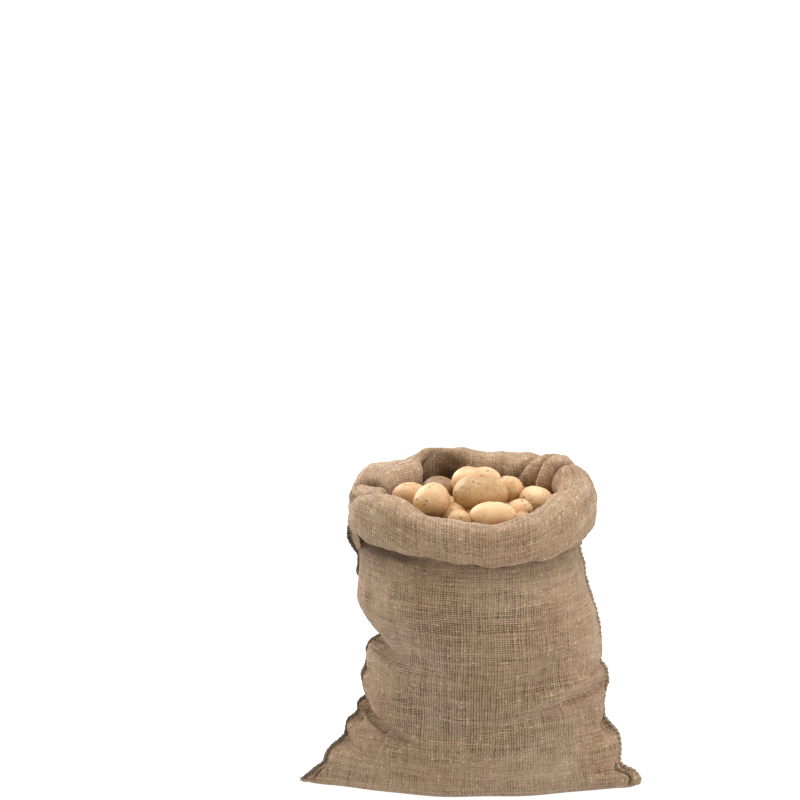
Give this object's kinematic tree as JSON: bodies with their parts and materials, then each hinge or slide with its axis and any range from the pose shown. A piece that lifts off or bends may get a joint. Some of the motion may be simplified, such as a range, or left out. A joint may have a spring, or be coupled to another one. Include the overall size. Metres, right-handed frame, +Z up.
{
  "type": "hessian sack of potatoes",
  "caption": "Open hessian sack standing on its base with its mouth rolled down over a heap of potatoes, side seams and bottom corners sticking out.",
  "frame": {"origin": "middle of the flat base, on the floor", "axes": "+Z up, +X to the sack's right hand seen from the front, -Y towards the front, where the rolled mouth hangs lowest"},
  "size_m": [0.5824, 0.3627, 0.5439],
  "materials": {
    "hessian": "coarse plain-woven natural jute, dull and fibrous",
    "seam_twine": "twisted jute twine whipped over the doubled edge",
    "potato_skin": "thin dry potato skin, soft satin with speckles and eyes"
  },
  "bodies": {
    "root": {"sack_cloth": "hessian", "seam_left": "seam_twine", "seam_right": "seam_twine", "potato_bed": "potato_skin", "potato_centre": "potato_skin", "potato_back": "potato_skin", "potato_back_right": "potato_skin", "potato_left": "potato_skin", "potato_far_left": "potato_skin", "potato_left_front": "potato_skin", "potato_front": "potato_skin", "potato_front_small": "potato_skin", "potato_right": "potato_skin", "potato_front_low": "potato_skin", "potato_back_left": "potato_skin", "potato_back_low": "potato_skin"}
  },
  "joints": []
}
